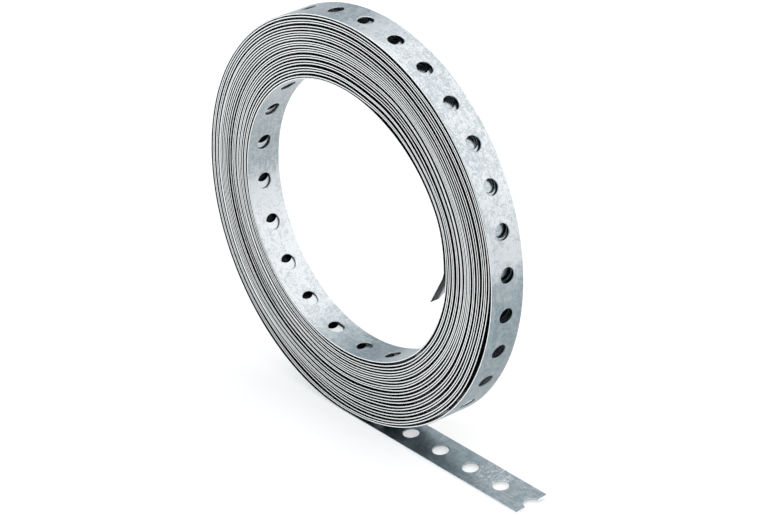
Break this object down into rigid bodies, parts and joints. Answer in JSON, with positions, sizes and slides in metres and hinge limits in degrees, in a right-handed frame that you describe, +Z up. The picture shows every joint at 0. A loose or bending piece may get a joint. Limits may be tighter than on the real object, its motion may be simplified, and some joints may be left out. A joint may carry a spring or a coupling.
{
  "type": "perforated mounting strap",
  "caption": "Standing coil of flat galvanised steel strap with a row of round holes, its free end laid out straight; cut to length and screwed down to hang pipes and ducts.",
  "frame": {"origin": "on the floor under the coil's axis, at the middle of the strap's width", "axes": "+X along the free end laid on the floor, +Y along the coil's axis, +Z up"},
  "size_m": [0.1968, 0.018, 0.182],
  "materials": {
    "galvanised_steel": "hot-dip galvanised zinc, mottled satin grey, with bright slit edges"
  },
  "bodies": {
    "root": {"perforated_strap": "galvanised_steel"}
  },
  "joints": []
}
